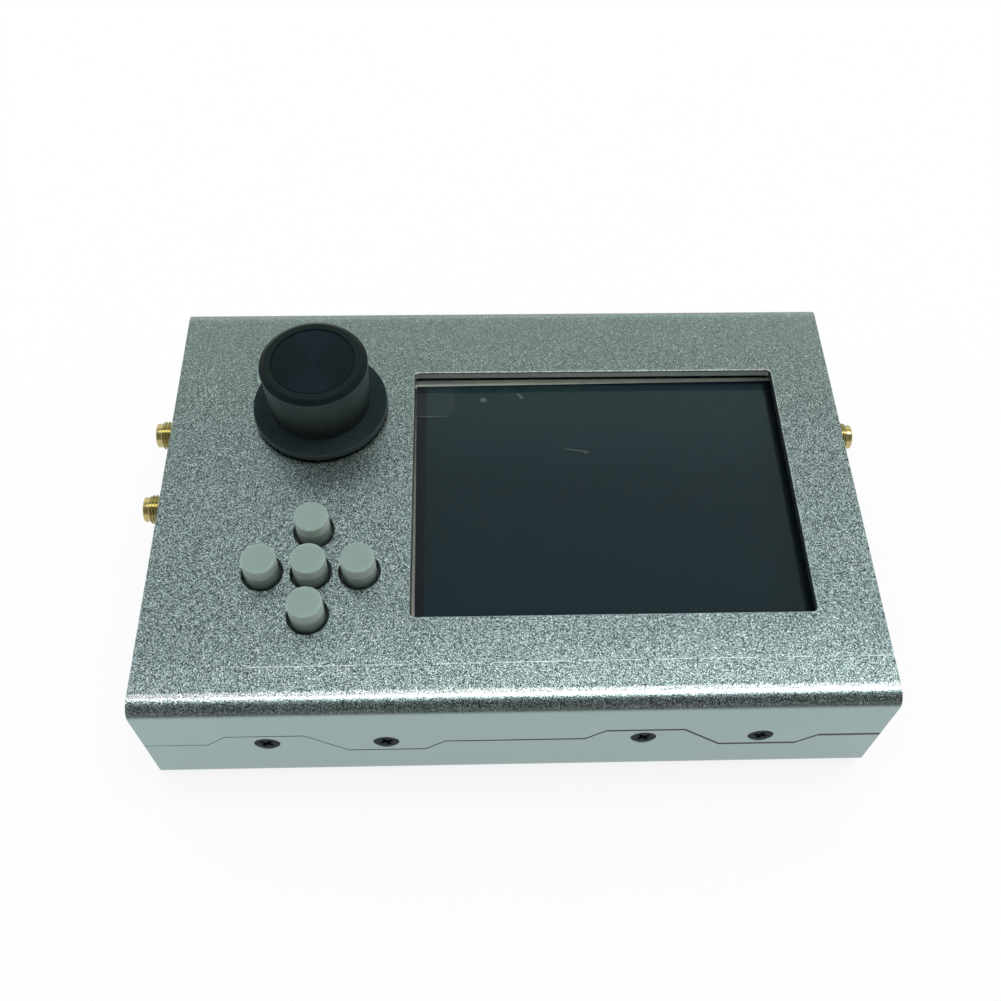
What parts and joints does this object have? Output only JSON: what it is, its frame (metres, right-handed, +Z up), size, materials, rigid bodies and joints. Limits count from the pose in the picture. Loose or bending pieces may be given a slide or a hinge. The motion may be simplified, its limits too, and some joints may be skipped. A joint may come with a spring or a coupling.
{
  "type": "software-defined radio",
  "caption": "Hand-held software-defined radio: two-shell aluminium case with a touch screen, a flanged tuning knob, a cross of round push buttons and gold SMA sockets at both ends.",
  "frame": {"origin": "middle of the case's bottom face", "axes": "+X along the long side to the right, +Y to the back, +Z up out of the top face"},
  "size_m": [0.1568, 0.0974, 0.0468],
  "materials": {
    "case_aluminium": "bead-blasted, clear anodised",
    "screw_black": "black oxide",
    "knob_black": "black anodised, satin",
    "button_grey": "smooth moulded",
    "plunger_black": "moulded",
    "switch_grey": "moulded",
    "display_frame": "moulded, pale grey",
    "display_dark": "dark, unlit",
    "touch_glass": "polished",
    "flex_amber": "polyimide film",
    "board_green": "solder mask",
    "header_black": "moulded",
    "standoff_brass": "turned",
    "steel": "plain",
    "gold": "gold plated",
    "insulator_white": "smooth",
    "battery_foil": "laminate pouch",
    "foam_black": "foam",
    "lead_red": "insulated wire",
    "plug_white": "moulded",
    "jack_black": "moulded",
    "chip_black": "moulded"
  },
  "bodies": {
    "case": {"upper_shell": "case_aluminium", "lower_shell": "case_aluminium", "left_end_panel": "case_aluminium", "right_end_panel": "case_aluminium", "case_screws": "screw_black", "display_frame": "display_frame", "display_panel": "display_dark", "touch_glass": "touch_glass", "display_flex": "flex_amber", "flex_connector": "plug_white", "control_board": "board_green", "radio_board": "board_green", "header_sockets": "header_black", "header_plugs": "header_black", "lower_standoffs": "standoff_brass", "upper_standoffs": "standoff_brass", "board_screws": "steel", "encoder_body": "steel", "battery_cell": "battery_foil", "battery_pad": "foam_black", "battery_leads": "lead_red", "battery_plug": "plug_white", "usb_socket": "steel", "usb_tongue": "plunger_black", "card_socket": "steel", "audio_jack": "jack_black", "reset_switch": "switch_grey", "update_switch": "switch_grey", "rf_shield": "steel", "radio_chips": "chip_black", "control_chips": "chip_black", "up_switch": "switch_grey", "down_switch": "switch_grey", "left_switch": "switch_grey", "right_switch": "switch_grey", "select_switch": "switch_grey", "antenna_sma_body": "gold", "antenna_sma_insulator": "insulator_white", "antenna_sma_contact": "gold", "clock_in_sma_body": "gold", "clock_in_sma_insulator": "insulator_white", "clock_in_sma_contact": "gold", "clock_out_sma_body": "gold", "clock_out_sma_insulator": "insulator_white", "clock_out_sma_contact": "gold"},
    "tuning_knob": {"knob": "knob_black", "encoder_shaft": "steel"},
    "up_key": {"up_button": "button_grey", "up_plunger": "plunger_black"},
    "down_key": {"down_button": "button_grey", "down_plunger": "plunger_black"},
    "left_key": {"left_button": "button_grey", "left_plunger": "plunger_black"},
    "right_key": {"right_button": "button_grey", "right_plunger": "plunger_black"},
    "select_key": {"select_button": "button_grey", "select_plunger": "plunger_black"},
    "reset_key": {"reset_plunger": "plunger_black"},
    "update_key": {"update_plunger": "plunger_black"}
  },
  "joints": [
    {"name": "knob_turn", "type": "hinge", "parent": "case", "child": "tuning_knob", "pos_m": [-0.0397, 0.0204, 0.0312], "axis": [0, 0, 1], "continuous": true},
    {"name": "up_press", "type": "slide", "parent": "case", "child": "up_key", "axis": [0, 0, -1], "range_m": [0, 0.0003], "stiffness_N_per_m": 5000},
    {"name": "down_press", "type": "slide", "parent": "case", "child": "down_key", "axis": [0, 0, -1], "range_m": [0, 0.0003], "stiffness_N_per_m": 5000},
    {"name": "left_press", "type": "slide", "parent": "case", "child": "left_key", "axis": [0, 0, -1], "range_m": [0, 0.0003], "stiffness_N_per_m": 5000},
    {"name": "right_press", "type": "slide", "parent": "case", "child": "right_key", "axis": [0, 0, -1], "range_m": [0, 0.0003], "stiffness_N_per_m": 5000},
    {"name": "select_press", "type": "slide", "parent": "case", "child": "select_key", "axis": [0, 0, -1], "range_m": [0, 0.0003], "stiffness_N_per_m": 5000},
    {"name": "reset_press", "type": "slide", "parent": "case", "child": "reset_key", "axis": [-1, 0, 0], "range_m": [0, 0.00025], "stiffness_N_per_m": 5000},
    {"name": "update_press", "type": "slide", "parent": "case", "child": "update_key", "axis": [-1, 0, 0], "range_m": [0, 0.00025], "stiffness_N_per_m": 5000}
  ]
}
